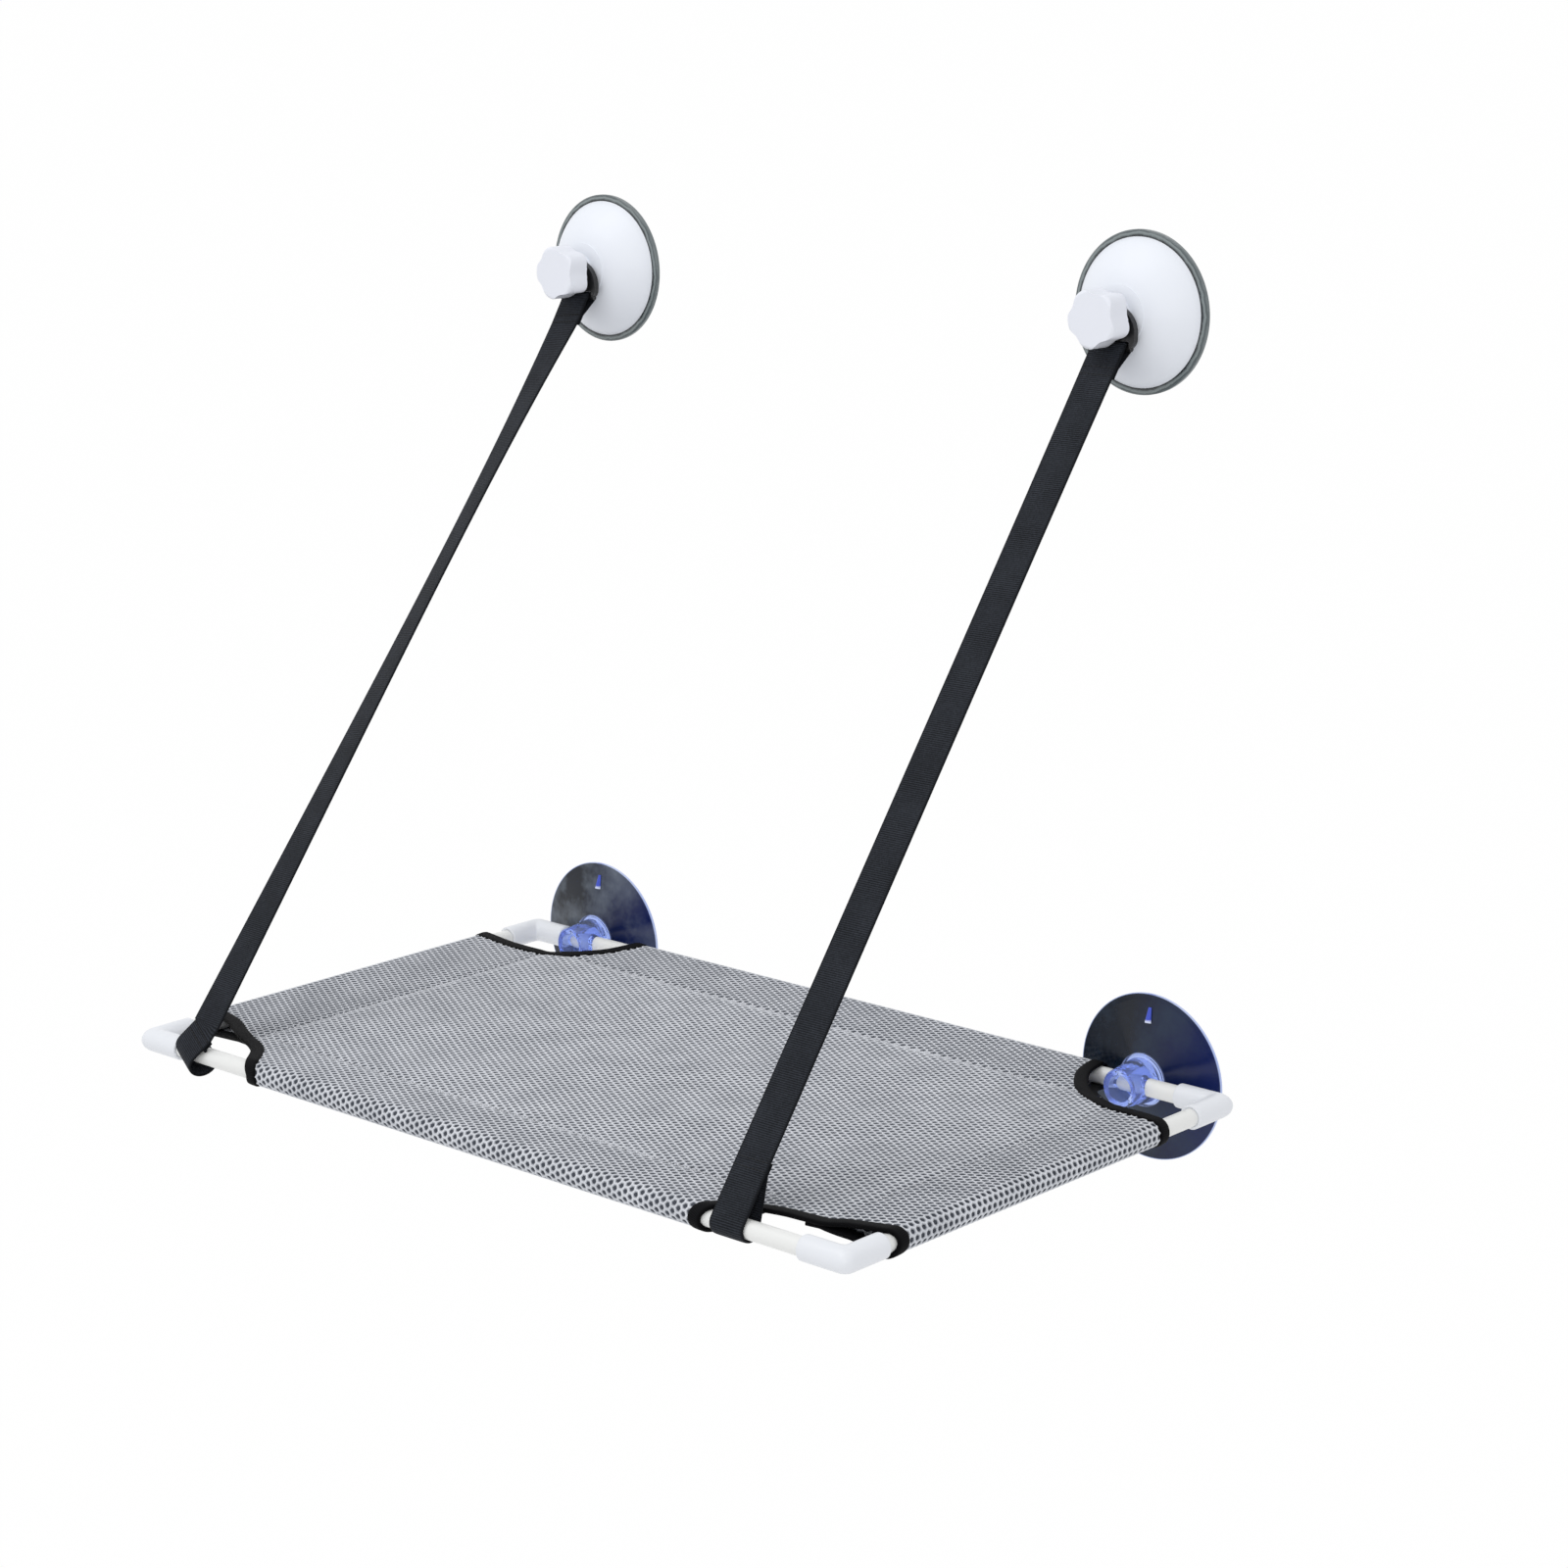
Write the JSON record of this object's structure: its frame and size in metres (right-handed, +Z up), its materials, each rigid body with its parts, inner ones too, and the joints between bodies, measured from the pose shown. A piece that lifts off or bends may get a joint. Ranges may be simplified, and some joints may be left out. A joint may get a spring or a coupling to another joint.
{
  "type": "window perch",
  "caption": "Window perch for a cat: a mesh sling on a tube frame, hinged in lower suction cups and hung by straps from upper cups with screw knobs.",
  "frame": {"origin": "on the glass, midway between the lower cups, at the height of the back tube's axis", "axes": "+X along the window, to the right as seen from the room; +Y into the window; +Z up"},
  "size_m": [0.5384, 0.3285, 0.5037],
  "materials": {
    "tube_plastic": "extruded, satin, slightly translucent",
    "elbow_plastic": "moulded, satin, slightly translucent",
    "mesh_cloth": "knitted spacer mesh",
    "binding_tape": "woven, folded and sewn",
    "webbing": "woven polypropylene with fine cross ribs",
    "hanger_plastic": "moulded",
    "knob_plastic": "moulded, glossy",
    "plated_steel": "zinc plated",
    "dome_plastic": "moulded, glossy",
    "cup_rubber": "soft, slightly translucent",
    "clear_vinyl": "clear, blue tinted, glossy"
  },
  "bodies": {
    "window_cups": {"left_lower_cup": "clear_vinyl", "right_lower_cup": "clear_vinyl", "left_upper_cup": "cup_rubber", "right_upper_cup": "cup_rubber", "left_dome": "dome_plastic", "right_dome": "dome_plastic", "left_stud": "plated_steel", "right_stud": "plated_steel", "left_hanger": "hanger_plastic", "right_hanger": "hanger_plastic", "left_strap": "webbing", "right_strap": "webbing"},
    "platform": {"front_tube": "tube_plastic", "back_tube": "tube_plastic", "left_tube": "tube_plastic", "right_tube": "tube_plastic", "front_left_elbow": "elbow_plastic", "front_right_elbow": "elbow_plastic", "back_left_elbow": "elbow_plastic", "back_right_elbow": "elbow_plastic", "mesh_sling": "mesh_cloth", "front_left_binding": "binding_tape", "front_right_binding": "binding_tape", "back_left_binding": "binding_tape", "back_right_binding": "binding_tape"},
    "left_washer": {"left_washer": "plated_steel"},
    "left_knob": {"left_knob": "knob_plastic", "left_knob_nut": "plated_steel"},
    "right_washer": {"right_washer": "plated_steel"},
    "right_knob": {"right_knob": "knob_plastic", "right_knob_nut": "plated_steel"}
  },
  "joints": [
    {"name": "platform_fold", "type": "hinge", "parent": "window_cups", "child": "platform", "pos_m": [0, -0.0172, 0], "axis": [-1, 0, 0], "range_deg": [0, 88], "deforming": ["left_strap", "right_strap"]},
    {"name": "left_knob_lift", "type": "slide", "parent": "window_cups", "child": "left_washer", "axis": [0, -1, 0], "range_m": [0, 0.004]},
    {"name": "left_knob_turn", "type": "hinge", "parent": "left_washer", "child": "left_knob", "pos_m": [-0.197, -0.036, 0.414], "axis": [0, -1, 0], "range_deg": [0, 1440]},
    {"name": "right_knob_lift", "type": "slide", "parent": "window_cups", "child": "right_washer", "axis": [0, -1, 0], "range_m": [0, 0.004]},
    {"name": "right_knob_turn", "type": "hinge", "parent": "right_washer", "child": "right_knob", "pos_m": [0.197, -0.036, 0.414], "axis": [0, -1, 0], "range_deg": [0, 1440]}
  ],
  "couplings": [
    {"joint": "left_knob_lift", "follows": "left_knob_turn", "m_per_rad": 0.00015915},
    {"joint": "right_knob_lift", "follows": "right_knob_turn", "m_per_rad": 0.00015915}
  ]
}
